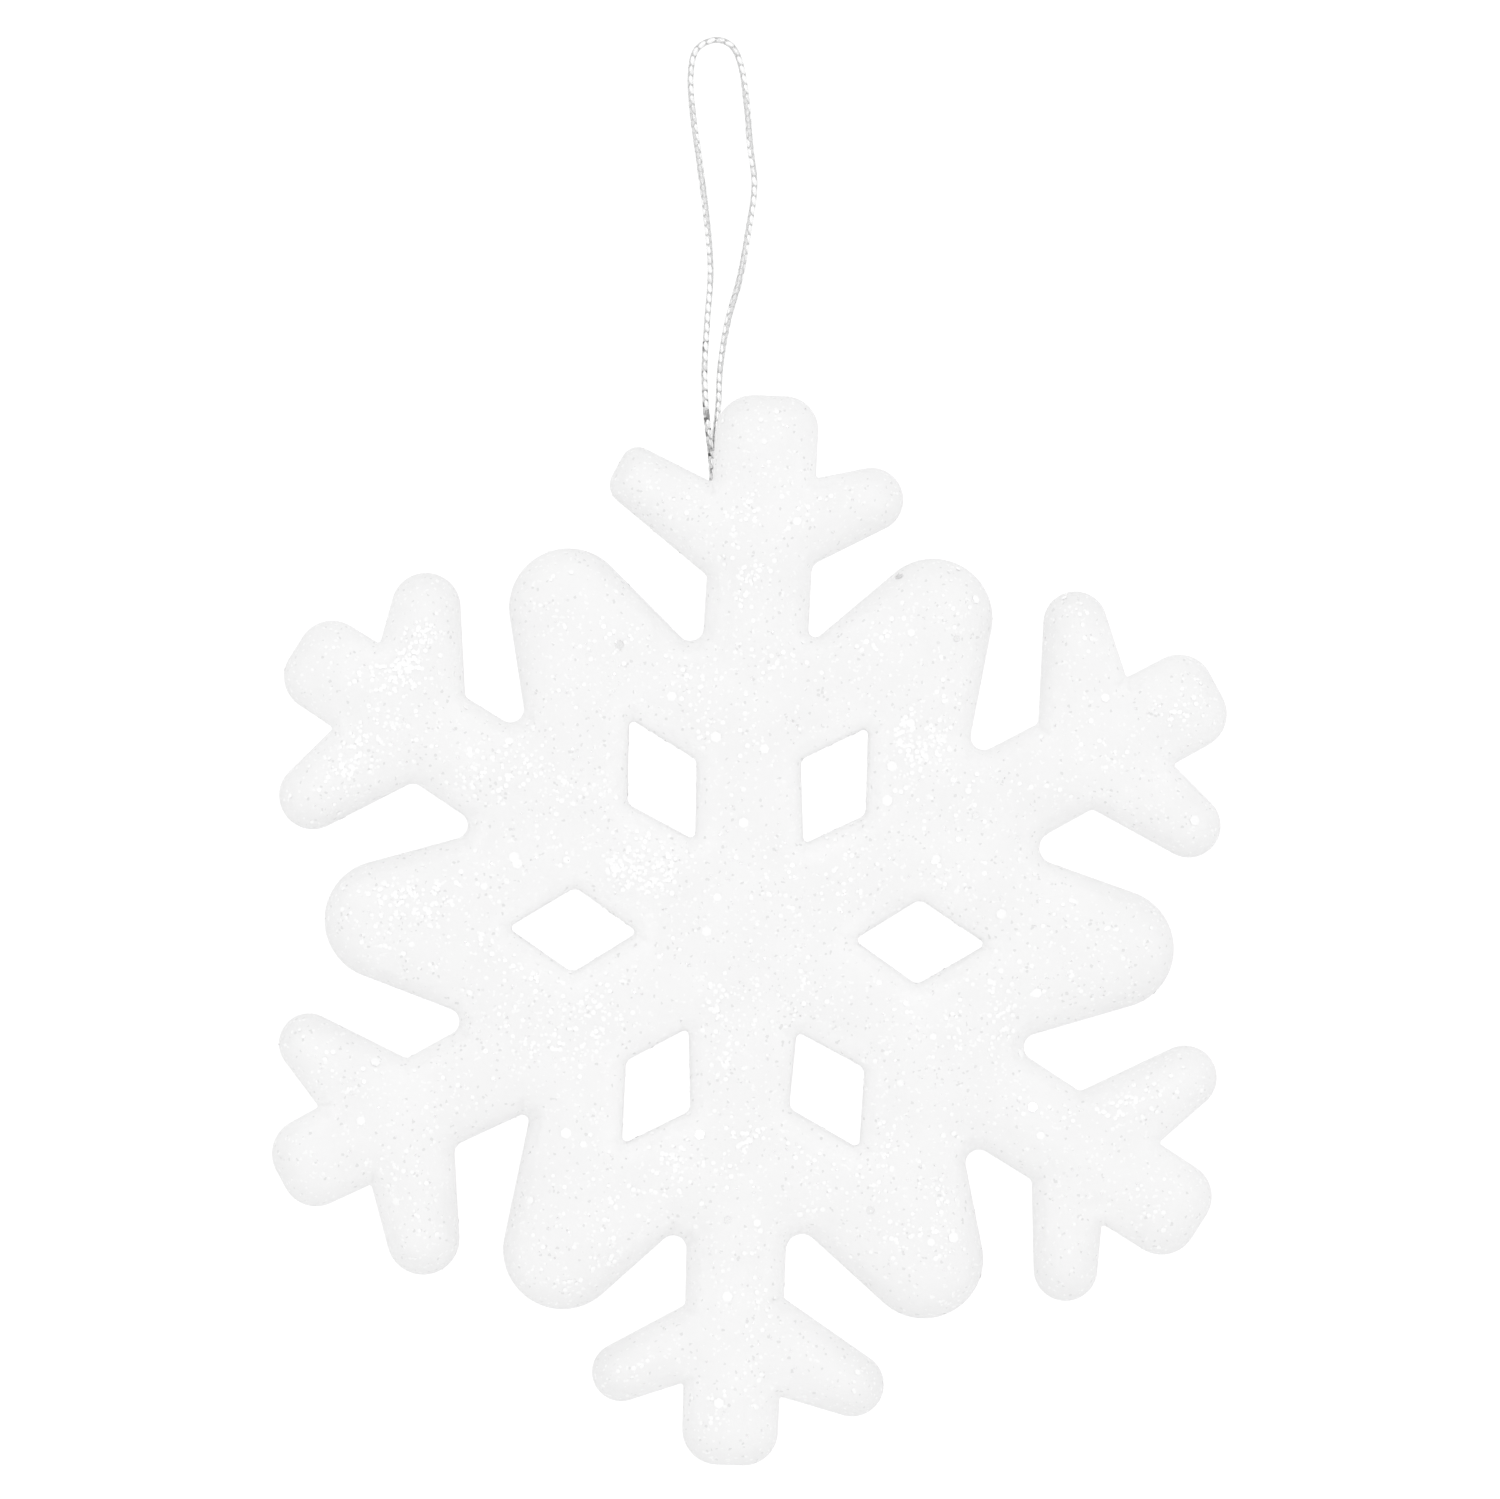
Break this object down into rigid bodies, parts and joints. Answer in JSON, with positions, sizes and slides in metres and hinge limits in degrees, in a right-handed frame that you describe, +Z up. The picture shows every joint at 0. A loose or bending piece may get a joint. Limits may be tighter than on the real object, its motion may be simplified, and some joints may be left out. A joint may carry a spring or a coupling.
{
  "type": "hanging snowflake ornament",
  "caption": "Moulded white foam snowflake with branched arms, rounded petals and kite-shaped openings, dusted with glitter and hung from a thin braided silver cord loop",
  "frame": {"origin": "the hook point: the top of the inside of the cord loop, where a hook or twig carries the ornament", "axes": "+Z up, -Y is the snowflake's front, +X to the right as seen from the front"},
  "size_m": [0.1075, 0.0126, 0.1611],
  "materials": {
    "foam_white": "expanded foam under clear glue and fine glitter, matte with bright specks",
    "cord_silver": "braided metallised yarn, bright silver",
    "glue_clear": "set hot-melt glue, glossy and slightly cloudy"
  },
  "bodies": {
    "hanging_loop": {"cord_loop": "cord_silver"},
    "knot": {"cord_knot": "cord_silver"},
    "cord_ends": {"cord_end_left": "cord_silver", "cord_end_right": "cord_silver"},
    "snowflake": {"foam_snowflake": "foam_white", "glue_dab": "glue_clear"}
  },
  "joints": [
    {"name": "cord_twist", "type": "hinge", "parent": "hanging_loop", "child": "knot", "pos_m": [-0.0005, 0, -0.0513], "axis": [0, 0, 1], "range_deg": [-180, 180]},
    {"name": "side_swing", "type": "hinge", "parent": "knot", "child": "cord_ends", "pos_m": [-0.0005, 0, -0.0513], "axis": [0, 1, 0], "range_deg": [-60, 60]},
    {"name": "front_tilt", "type": "hinge", "parent": "cord_ends", "child": "snowflake", "pos_m": [-0.0005, 0, -0.05585], "axis": [1, 0, 0], "range_deg": [-1, 95]}
  ]
}
